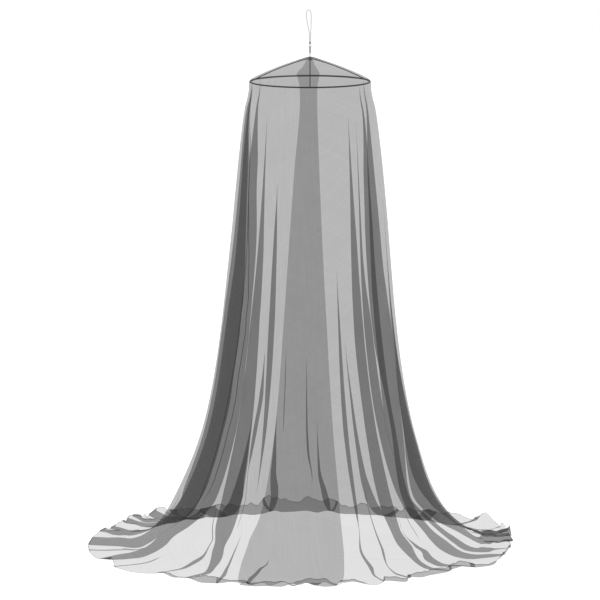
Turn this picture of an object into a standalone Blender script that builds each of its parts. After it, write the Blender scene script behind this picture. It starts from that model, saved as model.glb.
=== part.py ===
"""Round mosquito net canopy: a sheer net sheet wrapped round a wire hoop and hung from a cord loop.

Metres, +Z up. The origin is the top of the cord loop, on the canopy's plumb axis, where a ceiling hook
holds it. The front, where the net's two upright edges overlap, faces -Y. Heights in the tables are
measured from the floor, and azimuths run in degrees from the front towards the left (-X).
"""

import math

import bpy
import numpy as np
from mathutils import Vector

# ---- main sizes ----
FLOOR_Z = -2.690  # the floor that the skirt lies on, below the ceiling hook
GAP = 0.0003  # clearance between neighbouring pieces

HOOP_RADIUS = 0.300
HOOP_HEIGHT = 2.330
HOOP_WIRE = 0.0035
SPOKE_WIRE = 0.0025
SPOKE_BOW = 0.010
SPOKE_LEAN = SPOKE_WIRE / 4  # how far a spoke's slanted end face reaches in towards the hub
SPOKE_SEGMENTS = 9

HUB_RADIUS = 0.0090
HUB_TOP_RADIUS = 0.0055
HUB_TOP = 2.4535
HUB_SHOULDER = 2.4490
HUB_BOTTOM = 2.4360
HUB_CHAMFER = 0.0010
HUB_FOOT_HEIGHT = 0.0015
HUB_FOOT_INSET = 0.0025
SPOKE_ROOT_HEIGHT = 2.4430

EYE_RADIUS = 0.0015
EYE_TOP = 2.4735
SHANK_RADIUS = 0.0021
SHANK_TOP = 2.5035
BAR_RADIUS = 0.0011
BAR_LENGTH = 0.015
NECK_RADIUS = 0.0014
CRIMP_BOTTOM = 2.5170
CRIMP_TOP = 2.5305
CRIMP_RADIUS = 0.0034
CRIMP_END_RADIUS = 0.0030
CRIMP_STEPS = 8
PIN_CHAMFER = 0.3  # share of a pin's radius

CORD_RADIUS = 0.00125
CORD_SPREAD = 0.0016  # half the distance between the two cord ends in the crimp

NET_THICKNESS = 0.0015
FOLD_DEPTH = 0.007  # how far the outer and inner layers of a narrow fold stand from the middle one
DEPTH_PER_WIDTH = 0.060  # how much more they stand apart in a wider fold
MOST_DEPTH = 0.018
FLOOR_DEPTH = 0.009  # the same where the skirt lies on the floor
OPEN_WIDTH = 0.030  # folds narrower than this are still closing, so they are shallower too
FOLD_ROOM = 1.3  # a fold's room along the sheet, over the width of its three layers
LEAST_ROOM = math.radians(1.2)
ROOM_SHARE = 0.92  # most of the way between two folds that their rooms may fill
CLOSING_SHARE = 0.15  # a fold narrower than this share of its room flattens out
CALM_LENGTH = 0.060  # how far from a fold the net comes back to its plain shape
TURNS = (-1.0, -0.60, -0.28, 0.28, 0.60, 1.0)  # where a fold's section has its points
PLAIN_STEP = 11.0  # most degrees between the points of the plain net
FOLD_ONSET = 0.100  # distance below the hoop in which the folds gain their depth

# ---- the net from its gathered tip to its hem ----
# height above the floor, radius of the plain net
PROFILE = (
    (2.4567, 0.0045),
    (2.4562, 0.0110),
    (2.4080, 0.1500),
    (2.3510, 0.2920),
    (2.3330, 0.3105),
    (2.2850, 0.3125),
    (2.1900, 0.3300),
    (1.9900, 0.3540),
    (1.7400, 0.3790),
    (1.4500, 0.4060),
    (1.1500, 0.4360),
    (0.8800, 0.4720),
    (0.6500, 0.5170),
    (0.4700, 0.5700),
    (0.3100, 0.6320),
    (0.1900, 0.6970),
    (0.1050, 0.7720),
    (0.0450, 0.8600),
    (0.0200, 0.9450),
    (0.0200, 1.0800),
)
FLARE_RADIUS = 0.632  # radius from which the folds begin to lie down
SKIRT_START = 0.772  # radius from which the skirt spreads to the hem's own outline

# The stations at which the tables below say where an edge or a fold lies. The last one is the hem.
STATION_HEIGHTS = (2.33, 2.20, 1.85, 1.45, 1.05, 0.65, 0.30, 0.105)

# azimuths of the sheet's two upright edges at each station, and at the hem
RIGHT_EDGE = (-8.0, -6.5, -7.2, -9.0, -11.0, -12.2, -12.4, -11.5, -9.5)
LEFT_EDGE = (370.0, 368.9, 371.8, 374.8, 377.0, 378.4, 379.7, 381.4, 378.6)
# distance between the two layers where the sheet overlaps itself
OVERLAP_GAP = (0.004, 0.006, 0.012, 0.013, 0.013, 0.013, 0.013, 0.013, 0.013)
# azimuths where the sheet leaves its inner place at one edge and reaches its outer place at the other
INNER_END = -12.0
OUTER_END = 372.0
OVERLAP_EASE = 60.0  # degrees over which the sheet moves from the overlap's layer to the plain wall

# name, azimuth at each station and at the hem, width of its three layers in mm at the same places
FOLDS = (
    ("left_4", (25, 25, 25, 25, 25, 24.5, 24, 25, 23.5), (0, 0, 0, 21, 30, 18, 0, 14, 33)),
    ("left_3", (38, 38, 37, 36.5, 37.5, 37.5, 35.3, 31, 28), (0, 0, 12, 39, 62, 88, 97, 85, 35)),
    ("left_2", (53, 52, 49.5, 45.4, 46.5, 47.8, 52, 59.5, 60.5), (0, 8, 66, 66, 70, 92, 128, 150, 110)),
    ("left_1", (69, 67, 60.5, 58.1, 60.2, 60.6, 63, 76, 85), (0, 10, 90, 112, 145, 146, 165, 150, 120)),
    ("back_7", (104, 105, 109, 112, 107.5, 110, 112, 112, 106), (0, 64, 104, 180, 255, 255, 225, 200, 170)),
    ("back_6", (145, 145, 145, 145, 145, 145, 145.5, 147.5, 148), (0, 0, 0, 0, 0, 0, 35, 85, 90)),
    ("back_5", (161, 161, 161, 161, 161, 160.5, 162, 165, 166), (0, 0, 0, 0, 0, 0, 30, 45, 45)),
    ("back_4", (184, 184, 184, 184, 184, 184, 184.5, 187, 188), (0, 0, 0, 0, 0, 0, 14, 45, 45)),
    ("back_3", (204, 204, 204, 204, 204, 206, 206.5, 206.5, 207), (0, 0, 0, 0, 0, 14, 34, 70, 70)),
    ("back_2", (239, 238, 235.5, 232, 234, 235.5, 230, 225, 218), (0, 6, 20, 44, 43, 36, 55, 75, 90)),
    ("back_1", (258, 258, 258, 256, 254, 251, 246, 246, 247), (0, 0, 0, 0, 0, 0, 140, 130, 110)),
    ("right_4", (290, 290, 290, 290, 289.5, 292, 297, 285, 274), (0, 0, 0, 0, 14, 85, 170, 150, 90)),
    ("right_3", (303, 304.5, 305.5, 307, 301, 305.5, 309, 299.5, 288.5), (0, 8, 107, 144, 170, 145, 26, 54, 54)),
    ("right_2", (319, 319, 320.5, 321.7, 319.5, 317.6, 314, 305, 298), (0, 0, 5, 16, 50, 62, 76, 56, 40)),
    ("right_1", (327, 327, 327.7, 327.8, 327.3, 325.7, 325.3, 323, 321.5), (0, 0, 14, 41, 58, 66, 81, 68, 70)),
    ("right_0", (342, 342, 342, 342, 341.5, 341.1, 341.2, 343, 342), (0, 0, 0, 0, 12, 22, 25, 4, 17)),
)

# azimuth, how far the hem reaches from the axis, how high its crests stand off the floor
HEM = (
    (-12, 1.020, 0.010),
    (0, 1.000, 0.010),
    (16, 1.100, 0.010),
    (29, 1.080, 0.010),
    (43, 1.070, 0.010),
    (58, 1.090, 0.012),
    (75, 1.080, 0.020),
    (90, 1.100, 0.035),
    (104, 1.080, 0.085),
    (124, 1.080, 0.075),
    (141, 1.100, 0.045),
    (165, 1.090, 0.050),
    (180, 1.100, 0.040),
    (200, 1.080, 0.050),
    (236, 1.100, 0.045),
    (252, 1.050, 0.070),
    (262, 0.990, 0.120),
    (274, 0.985, 0.050),
    (288, 1.000, 0.020),
    (301, 1.030, 0.012),
    (310, 0.980, 0.010),
    (320, 0.930, 0.010),
    (336, 1.055, 0.010),
    (344, 1.030, 0.010),
    (352, 1.070, 0.010),
    (366, 1.090, 0.010),
    (380, 1.090, 0.010),
)
HEM_WAVES = 11  # crests of the crumpled hem in a full circle
HEM_VALLEY = 0.30  # a valley's height over its crest's

# the cord loop's route by hand: x from the axis, height above the floor
CORD_ROUTE = (
    (-CORD_SPREAD, 2.5308),
    (-CORD_SPREAD, 2.5480),
    (-0.0018, 2.5650),
    (-0.0045, 2.5800),
    (-0.0092, 2.6030),
    (-0.0140, 2.6310),
    (-0.0180, 2.6560),
    (-0.0186, 2.6720),
    (-0.0140, 2.68475),
    (-0.0070, 2.68875),
    (0.0000, 2.68475),
    (0.0048, 2.6720),
    (0.0058, 2.6530),
    (0.0054, 2.6200),
    (0.0048, 2.5930),
    (0.0026, 2.5690),
    (CORD_SPREAD, 2.5500),
    (CORD_SPREAD, 2.5308),
)
CORD_POINTS = 70

# name: base colour, roughness, metallic, opacity
MATERIALS = {
    "charcoal_net": ((0.030, 0.030, 0.032), 0.85, 0.0, 0.45),
    "grey_wire": ((0.090, 0.090, 0.095), 0.45, 0.6, 1.0),
    "dark_metal": ((0.030, 0.030, 0.032), 0.40, 0.6, 1.0),
    "bright_metal": ((0.620, 0.620, 0.630), 0.30, 0.9, 1.0),
    "pale_cord": ((0.720, 0.720, 0.700), 0.80, 0.0, 1.0),
}


# ---- shared helpers ----


def world_z(height):
    """Height above the floor to Z."""
    return FLOOR_Z + height


def smooth_step(x):
    """0 to 1 with level ends."""
    x = np.clip(x, 0.0, 1.0)
    return x * x * (3.0 - 2.0 * x)


def ease(x, knots, values):
    """A smooth curve through a table, that never swings past the table's own values."""
    knots = np.asarray(knots, float)
    values = np.asarray(values, float)
    step = np.diff(knots)
    chord = np.diff(values) / step
    slope = np.zeros(len(knots))
    both = chord[:-1] * chord[1:]
    total = chord[:-1] + chord[1:]
    inner = both > 0
    slope[1:-1][inner] = 2.0 * both[inner] / total[inner]
    slope[0], slope[-1] = chord[0], chord[-1]
    i = np.clip(np.searchsorted(knots, x, side="right") - 1, 0, len(knots) - 2)
    t = np.clip((x - knots[i]) / step[i], 0.0, 1.0)
    start = (1 + 2 * t) * (1 - t) ** 2 * values[i] + t * (1 - t) ** 2 * step[i] * slope[i]
    return start + t * t * (3 - 2 * t) * values[i + 1] + t * t * (t - 1) * step[i] * slope[i + 1]


def clear_scene():
    for obj in list(bpy.data.objects):
        bpy.data.objects.remove(obj, do_unlink=True)


def make_material(name):
    colour, roughness, metallic, opacity = MATERIALS[name]
    material = bpy.data.materials.new(name)
    material.use_nodes = True
    shader = material.node_tree.nodes["Principled BSDF"]
    shader.inputs["Base Color"].default_value = (*colour, 1.0)
    shader.inputs["Roughness"].default_value = roughness
    shader.inputs["Metallic"].default_value = metallic
    shader.inputs["Alpha"].default_value = opacity
    return material


def add_part(name, data, material, collection):
    obj = bpy.data.objects.new(name, data)
    data.materials.append(material)
    collection.objects.link(obj)
    return obj


def adopt(obj, name, material, collection):
    """Name a new primitive and move it to the object's own collection."""
    obj.name = name
    obj.data.materials.append(material)
    for owner in list(obj.users_collection):
        owner.objects.unlink(obj)
    collection.objects.link(obj)
    obj.data.shade_smooth()
    obj.data.set_sharp_from_angle(angle=math.radians(40))
    return obj


def wire(name, points, radius, material, collection):
    """A round wire or cord with closed ends along a list of points."""
    curve = bpy.data.curves.new(name, "CURVE")
    curve.dimensions = "3D"
    curve.bevel_depth = radius
    curve.bevel_resolution = 2
    curve.use_fill_caps = True
    spline = curve.splines.new("POLY")
    spline.points.add(len(points) - 1)
    for place, point in zip(spline.points, points):
        place.co = (*point, 1.0)
    return add_part(name, curve, material, collection)


def turned(name, outline, material, collection, sides=20):
    """A turned piece about the plumb axis. The outline is radius, height, from the top down."""
    mesh = bpy.data.meshes.new(name)
    points = [(radius, 0.0, world_z(height)) for radius, height in outline]
    mesh.from_pydata(points, [(i, i + 1) for i in range(len(points) - 1)], [])
    obj = add_part(name, mesh, material, collection)
    screw = obj.modifiers.new("turn", "SCREW")
    screw.steps = screw.render_steps = sides
    screw.use_merge_vertices = True
    screw.merge_threshold = 0.00001
    screw.use_normal_calculate = True
    return obj


# ---- the net ----


def net_profile():
    """Distance along the net, radius, height and outward normal at each row of the profile."""
    table = np.array(PROFILE)
    height, radius = table[:, 0], table[:, 1]
    distance = np.concatenate([[0.0], np.cumsum(np.hypot(np.diff(height), np.diff(radius)))])
    along_r = np.gradient(radius, distance)
    along_z = np.gradient(height, distance)
    size = np.hypot(along_r, along_z)
    return distance, radius, height, -along_z / size, along_r / size


def station_distances(distance, height):
    """Distance along the net of each station and of the hem."""
    below_crown = height < HOOP_HEIGHT + HOOP_WIRE
    places = np.interp(
        [-h for h in STATION_HEIGHTS], -height[below_crown], distance[below_crown]
    )
    return np.append(places, distance[-1])


def fold_gain(overlap):
    """How strongly a fold's section swings, for the width of its layers over its room."""
    gains = np.linspace(1 / (2 * math.pi), 1.0, 60)
    turn = np.arccos(1 / (2 * math.pi * gains)) / math.pi
    widths = 2 * (gains * np.sin(math.pi * turn) - turn / 2)
    return np.interp(overlap, widths, gains) * smooth_step(overlap / CLOSING_SHARE)


class Folds:
    """Every fold's azimuth, room, swing and depth at each row of the net."""

    def __init__(self, distance, radius, height):
        stations = station_distances(distance, height)
        self.radius = radius
        self.azimuth = np.array([ease(distance, stations, azimuths) for _, azimuths, _ in FOLDS])
        width = np.array([ease(distance, stations, widths) for _, _, widths in FOLDS]) / 1000
        self.start = ease(distance, stations, RIGHT_EDGE)
        self.end = ease(distance, stations, LEFT_EDGE)
        self.gap = ease(distance, stations, OVERLAP_GAP)
        room = np.maximum(FOLD_ROOM * width, LEAST_ROOM * radius) / 2
        between = np.radians(np.diff(self.azimuth, axis=0)) * radius
        fit = np.minimum(1.0, ROOM_SHARE * between / (room[:-1] + room[1:]))
        before = np.vstack([np.ones_like(radius), fit])
        after = np.vstack([fit, np.ones_like(radius)])
        self.room = room * np.minimum(before, after)
        self.gain = fold_gain(np.minimum(width / (2 * self.room), 1.0))
        side = np.array([1.0 if i % 2 else -1.0 for i in range(len(FOLDS))])[:, None]
        onset = smooth_step((HOOP_HEIGHT - height) / FOLD_ONSET)
        hanging = np.minimum(FOLD_DEPTH + DEPTH_PER_WIDTH * width, MOST_DEPTH)
        lying = smooth_step((radius - FLARE_RADIUS) / (SKIRT_START - FLARE_RADIUS))
        depth = hanging + (np.minimum(hanging, FLOOR_DEPTH) - hanging) * lying
        self.depth = side * depth * onset * smooth_step(width / OPEN_WIDTH)

    def inside(self, k, t):
        """Azimuth and offset at the place t, from -1 to 1, of fold k's section."""
        swing = self.room[k] * (t - 2 * self.gain[k] * math.sin(math.pi * t))
        azimuth = self.azimuth[k] + np.degrees(swing / self.radius)
        return azimuth, self.depth[k] * math.sin(math.pi * t / 2)

    def between(self, k, share):
        """Azimuth and offset between fold k and the next one, at a share of the way."""
        none = np.zeros_like(self.radius)
        if k < 0:
            left, left_offset = self.start, none
        else:
            left, left_offset = self.inside(k, 1.0)
        if k + 1 >= len(FOLDS):
            right, right_offset = self.end, none
        else:
            right, right_offset = self.inside(k + 1, -1.0)
        length = np.radians(right - left) * self.radius
        nearest = np.minimum(share, 1 - share) * length
        calm = 1 - smooth_step(nearest / CALM_LENGTH)
        offset = (left_offset + (right_offset - left_offset) * smooth_step(share)) * calm
        return left + (right - left) * share, offset


def net_columns(folds):
    """One (azimuth, offset) pair of rows for each column of the sheet, from edge to edge."""
    columns = []
    for k in range(-1, len(FOLDS)):
        if k >= 0:
            columns += [folds.inside(k, t) for t in TURNS]
        left = folds.between(k, 0.0)[0]
        right = folds.between(k, 1.0)[0]
        steps = max(1, round(np.max(right - left) / PLAIN_STEP))
        first = 0 if k < 0 else 1
        last = steps + 1 if k + 1 >= len(FOLDS) else steps
        columns += [folds.between(k, i / steps) for i in range(first, last)]
    return columns


def place_column(folds, azimuth, offset, profile):
    """World points of one column of the net."""
    distance, radius, height, out_r, out_z = profile
    from_inner = smooth_step((azimuth - INNER_END) / OVERLAP_EASE)
    from_outer = smooth_step((OUTER_END - azimuth) / OVERLAP_EASE)
    into = from_inner - from_outer
    offset = offset + folds.gap / 2 * into
    hem = np.array(HEM)
    reach = ease(azimuth, hem[:, 0], hem[:, 1])
    lift = ease(azimuth, hem[:, 0], hem[:, 2])
    spread = np.clip((radius - SKIRT_START) / (radius[-1] - SKIRT_START), 0.0, 1.0)
    around = radius + spread * (reach - radius[-1])
    wave = 0.5 + 0.5 * np.cos(np.radians(azimuth) * HEM_WAVES)
    up = height + lift * smooth_step(spread) * (HEM_VALLEY + (1 - HEM_VALLEY) * wave)
    around = around + out_r * offset
    up = up + out_z * offset
    turn = np.radians(azimuth)
    return np.stack([-around * np.sin(turn), -around * np.cos(turn), world_z(up)], axis=1)


def make_net(material, collection):
    """The whole net as one folded sheet with a real thickness."""
    profile = net_profile()
    folds = Folds(*profile[:3])
    columns = [place_column(folds, a, o, profile) for a, o in net_columns(folds)]
    rows = len(PROFILE)
    points = [tuple(p) for column in columns for p in column]
    faces = []
    for c in range(len(columns) - 1):
        for r in range(rows - 1):
            corner = c * rows + r
            faces.append((corner, corner + 1, corner + rows + 1, corner + rows))
    mesh = bpy.data.meshes.new("net")
    mesh.from_pydata(points, [], faces)
    net = add_part("net", mesh, material, collection)
    shell = net.modifiers.new("thickness", "SOLIDIFY")
    shell.thickness = NET_THICKNESS
    shell.offset = 0.0
    mesh.shade_smooth()
    return net


# ---- the wire frame ----


def make_hoop(material, collection):
    bpy.ops.mesh.primitive_torus_add(
        major_radius=HOOP_RADIUS,
        minor_radius=HOOP_WIRE,
        major_segments=72,
        minor_segments=10,
        location=(0.0, 0.0, world_z(HOOP_HEIGHT)),
    )
    return adopt(bpy.context.object, "hoop", material, collection)


def make_spoke(name, direction, material, collection):
    """A bowed wire from just clear of the hub to just clear of the hoop."""
    root = Vector((HUB_RADIUS + GAP + SPOKE_LEAN, world_z(SPOKE_ROOT_HEIGHT)))
    rim = Vector((HOOP_RADIUS, world_z(HOOP_HEIGHT)))
    bend = (root + rim) / 2 + Vector((0.0, 2 * SPOKE_BOW))
    tip = rim - (rim - bend).normalized() * (HOOP_WIRE + GAP)
    points = []
    for i in range(SPOKE_SEGMENTS + 1):
        t = i / SPOKE_SEGMENTS
        radius, z = root * (1 - t) ** 2 + bend * 2 * t * (1 - t) + tip * t * t
        points.append((direction[0] * radius, direction[1] * radius, z))
    return wire(name, points, SPOKE_WIRE, material, collection)


def make_hub(material, collection):
    outline = (
        (0.0, HUB_TOP),
        (HUB_TOP_RADIUS, HUB_TOP),
        (HUB_RADIUS - HUB_CHAMFER, HUB_SHOULDER + HUB_CHAMFER),
        (HUB_RADIUS, HUB_SHOULDER),
        (HUB_RADIUS, HUB_BOTTOM + HUB_FOOT_HEIGHT),
        (HUB_RADIUS - HUB_FOOT_INSET, HUB_BOTTOM),
        (0.0, HUB_BOTTOM),
    )
    return turned("hub", outline, material, collection, sides=28)


# ---- the hanger ----


def pin(name, radius, bottom, top, material, collection):
    """A plain upright pin on the plumb axis with small chamfers."""
    chamfer = radius * PIN_CHAMFER
    outline = (
        (0.0, top),
        (radius - chamfer, top),
        (radius, top - chamfer),
        (radius, bottom + chamfer),
        (radius - chamfer, bottom),
        (0.0, bottom),
    )
    return turned(name, outline, material, collection)


def make_crossbar(height, material, collection):
    bpy.ops.mesh.primitive_cylinder_add(
        vertices=16,
        radius=BAR_RADIUS,
        depth=BAR_LENGTH,
        location=(0.0, 0.0, world_z(height)),
        rotation=(0.0, math.pi / 2, 0.0),
    )
    return adopt(bpy.context.object, "crossbar", material, collection)


def make_crimp(material, collection):
    middle = (CRIMP_BOTTOM + CRIMP_TOP) / 2
    half = (CRIMP_TOP - CRIMP_BOTTOM) / 2
    outline = [(0.0, CRIMP_TOP)]
    for i in range(CRIMP_STEPS + 1):
        across = 1 - 2 * i / CRIMP_STEPS
        bulge = (CRIMP_RADIUS - CRIMP_END_RADIUS) * (1 - across * across)
        outline.append((CRIMP_END_RADIUS + bulge, middle + across * half))
    outline.append((0.0, CRIMP_BOTTOM))
    return turned("crimp", outline, material, collection)


def make_cord_loop(material, collection):
    """The cord's smooth route through the points of its table."""
    route = np.array(CORD_ROUTE)
    steps = np.hypot(*np.diff(route, axis=0).T)
    distance = np.concatenate([[0.0], np.cumsum(steps)])
    slope = np.gradient(route, distance, axis=0)
    slope[0] = (0.0, 1.0)
    slope[-1] = (0.0, -1.0)
    places = np.linspace(0.0, distance[-1], CORD_POINTS)
    points = []
    for place in places:
        i = min(int(np.searchsorted(distance, place, side="right")) - 1, len(steps) - 1)
        t = (place - distance[i]) / steps[i]
        x, height = (
            (1 + 2 * t) * (1 - t) ** 2 * route[i]
            + t * (1 - t) ** 2 * steps[i] * slope[i]
            + t * t * (3 - 2 * t) * route[i + 1]
            + t * t * (t - 1) * steps[i] * slope[i + 1]
        )
        points.append((x, 0.0, world_z(height)))
    return wire("hanging_loop", points, CORD_RADIUS, material, collection)


def main():
    clear_scene()
    canopy = bpy.data.collections.new("mosquito_net_canopy")
    bpy.context.scene.collection.children.link(canopy)
    finish = {name: make_material(name) for name in MATERIALS}

    make_net(finish["charcoal_net"], canopy)

    make_hoop(finish["grey_wire"], canopy)
    sides = {"front": (0, -1), "back": (0, 1), "left": (-1, 0), "right": (1, 0)}
    for side, direction in sides.items():
        make_spoke(f"spoke_{side}", direction, finish["grey_wire"], canopy)
    make_hub(finish["grey_wire"], canopy)

    bar_height = SHANK_TOP + GAP + BAR_RADIUS
    pin("hub_eye", EYE_RADIUS, HUB_TOP + GAP, EYE_TOP, finish["bright_metal"], canopy)
    pin("shank", SHANK_RADIUS, EYE_TOP + GAP, SHANK_TOP, finish["dark_metal"], canopy)
    make_crossbar(bar_height, finish["bright_metal"], canopy)
    neck_bottom = bar_height + BAR_RADIUS + GAP
    pin("neck", NECK_RADIUS, neck_bottom, CRIMP_BOTTOM - GAP, finish["bright_metal"], canopy)
    make_crimp(finish["dark_metal"], canopy)
    make_cord_loop(finish["pale_cord"], canopy)


main()
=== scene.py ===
"""Looks of the round mosquito net canopy: a sheer net over a wire hoop, hung from a cord loop.

Metres, +Z up. The origin is the top of the cord loop, and the front, where the net's two upright edges
overlap, faces -Y. Heights in the tables are measured from the floor, and azimuths run in degrees from
the front towards the left (-X).
"""

import math

import bmesh
import bpy
import numpy as np
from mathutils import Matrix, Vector, noise


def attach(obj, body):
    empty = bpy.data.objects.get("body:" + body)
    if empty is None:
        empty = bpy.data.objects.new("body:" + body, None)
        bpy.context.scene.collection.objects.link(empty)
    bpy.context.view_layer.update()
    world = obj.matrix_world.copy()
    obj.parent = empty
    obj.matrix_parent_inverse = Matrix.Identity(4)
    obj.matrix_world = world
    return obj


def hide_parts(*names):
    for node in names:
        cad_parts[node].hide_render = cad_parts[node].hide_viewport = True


FLOOR_Z = -2.690
MM_PER_METRE = 1000

# ---- camera and light ----
CAMERA_X = -0.001
CAMERA_DISTANCE = 8.533
CAMERA_HEIGHT = 1.489  # above the floor
CAMERA_LENS = 101.93
CAMERA_PITCH = 1.69  # degrees down
CAMERA_YAW = 0.33  # degrees to the left
SENSOR_WIDTH = 36.0  # mm, as the lens
CAMERA_REACH = 100.0
BACKDROP_LIGHT = 1.27
UPPER_LIGHT = 1.0  # the lit backdrop falls off above the canopy
FALL_OFF = (0.1105, 0.1140)  # rise over distance at which the fall-off begins and ends
FLOOR_SIZE = 60.0
FLOOR_TONE = 0.06
FLOOR_GLOW = 1.20
FLOOR_ROUGHNESS = 0.9
KEY_PLACE = (-2.6, -3.4, 1.6)
KEY_SIZE = 2.0
KEY_POWER = 40.0
SEE_THROUGH = (32, 64)  # least and most layers of net that a ray of light goes through

# ---- wire frame, close to the frame's solids ----
HOOP_RADIUS = 0.300
HOOP_HEIGHT = 2.330
HOOP_WIRE = 0.0039
HOOP_STEPS = 240
SPOKE_WIRE = 0.0025
SPOKE_BOW = 0.010
SPOKE_STEPS = 48
SPOKE_ROOT_HEIGHT = 2.4460
WELD_LENGTH = 0.005
WELD_GROWTH = 0.0012
WIRE_SIDES = 20
HUB_RADIUS = 0.0090
HUB_OUTLINE = (  # radius, height
    (0, 2.4535), (0.004, 2.4535), (0.0053, 2.4531), (0.006, 2.452),
    (0.0082, 2.4497), (0.0088, 2.449), (0.009, 2.448), (0.009, 2.4466),
    (0.0085, 2.4461), (0.0085, 2.4453), (0.009, 2.4448), (0.009, 2.4385),
    (0.0087, 2.4374), (0.0078, 2.4364), (0.0066, 2.436), (0, 2.436),
)
TURNED_SIDES = 48
MERGE_DISTANCE = 1e-6
SHARP_ANGLE = math.radians(50.0)

# ---- the hanger's pins, from the hub up: radius, bottom, top ----
EYE = (0.0015, 2.4538, 2.4735)
SHANK = (0.0030, 2.4738, 2.5035)
NECK = (0.0014, 2.5063, 2.5167)
BAR_HEIGHT = 2.5049
BAR_RADIUS = 0.0011
BAR_LENGTH = 0.015
PIN_ROUND = 0.35  # radius of a pin's rounded end, over its own radius
PIN_STEPS = 4
CRIMP_OUTLINE = (  # radius, height
    (0, 2.5305), (0.0026, 2.5305), (0.003, 2.5302), (0.0032, 2.5294),
    (0.0034, 2.5275), (0.0035, 2.5252), (0.0033, 2.5242), (0.0033, 2.5233),
    (0.0035, 2.5223), (0.0034, 2.52), (0.0032, 2.5181), (0.003, 2.5173),
    (0.0026, 2.517), (0, 2.517),
)

# ---- the cord loop's route: x from the axis, height above the floor ----
CORD_SPREAD = 0.0016
CORD_RADIUS = 0.00125
CORD_ROUTE = (
    (-CORD_SPREAD, 2.5308),
    (-CORD_SPREAD, 2.548),
    (-0.0018, 2.565),
    (-0.0045, 2.58),
    (-0.0092, 2.603),
    (-0.014, 2.631),
    (-0.018, 2.656),
    (-0.0186, 2.672),
    (-0.014, 2.68475),
    (-0.007, 2.68875),
    (0, 2.68475),
    (0.0048, 2.672),
    (0.0058, 2.653),
    (0.0054, 2.62),
    (0.0048, 2.593),
    (0.0026, 2.569),
    (CORD_SPREAD, 2.55),
    (CORD_SPREAD, 2.5308),
)
CORD_LENGTH = 0.328
CORD_RINGS = 420
CORD_SIDES = 15
CORD_STRANDS = 3
CORD_LOBE = 0.16  # how deep the grooves between the strands are, over the radius
CORD_TWIST = 0.0075  # length of one full turn of the strands

# ---- the net from its gathered tip to its hem: height above the floor, radius ----
PROFILE = (
    (2.455, 0.0045), (2.4538, 0.011), (2.4448, 0.04),
    (2.4308, 0.082), (2.4056, 0.154), (2.3757, 0.2256),
    (2.344, 0.291), (2.337, 0.3), (2.328, 0.3052),
    (2.285, 0.3072), (2.19, 0.3285), (1.99, 0.354),
    (1.74, 0.379), (1.45, 0.406), (1.15, 0.436),
    (0.88, 0.472), (0.65, 0.517), (0.47, 0.57),
    (0.31, 0.632), (0.19, 0.697), (0.1, 0.772),
    (0.035, 0.86), (0.01, 0.945), (0.006, 1.08),
)
# radius of the net, how far it leans to the left there
LEAN = (
    (0.39, 0), (0.43, 0.005), (0.46, 0.007), (0.55, 0.011),
    (0.6, 0.017), (0.64, 0.02), (0.8, 0),
)
FLARE_RADIUS = 0.632  # from here the folds begin to lie down
SKIRT_START = 0.772  # from here the skirt spreads to the hem's own outline

# radius of the net, azimuth of its right upright edge and of its left one, distance between the layers
EDGES = (
    (0.0045, -40, 400, 0.001),
    (0.04, -16, 378, 0.002),
    (0.09, -10.8, 371.6, 0.003),
    (0.165, -7.4, 369.2, 0.003),
    (0.212, -8, 369.6, 0.003),
    (0.25, -8.7, 371, 0.003),
    (0.302, -8.9, 372.3, 0.003),
    (0.3055, -8.3, 371.4, 0.004),
    (0.3075, -6.7, 369.4, 0.004),
    (0.33, -6.1, 368.4, 0.006),
    (0.368, -7.2, 371.8, 0.01),
    (0.406, -9, 374.8, 0.01),
    (0.449, -11, 377, 0.01),
    (0.517, -12.2, 378.4, 0.01),
    (0.611, -12.7, 379.5, 0.01),
    (0.671, -12.4, 380.5, 0.008),
    (0.737, -12, 382.4, 0.005),
    (0.811, -11.3, 382.2, 0.004),
    (0.885, -10.5, 381, 0.004),
    (0.95, -9.7, 379.6, 0.004),
    (1.04, -8.6, 377.4, 0.004),
    (1.08, -8, 376.3, 0.004),
)
INNER_END = -12.0
OUTER_END = 372.0
OVERLAP_EASE = 60.0  # degrees over which the sheet moves from the overlap's layer to the plain wall

# radius of the net at each station of the table below; the last station is the hem
STATIONS = (0.3045, 0.3285, 0.368, 0.406, 0.447, 0.517, 0.636, 0.700, 0.772, 0.860, 0.945, 1.080)
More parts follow.
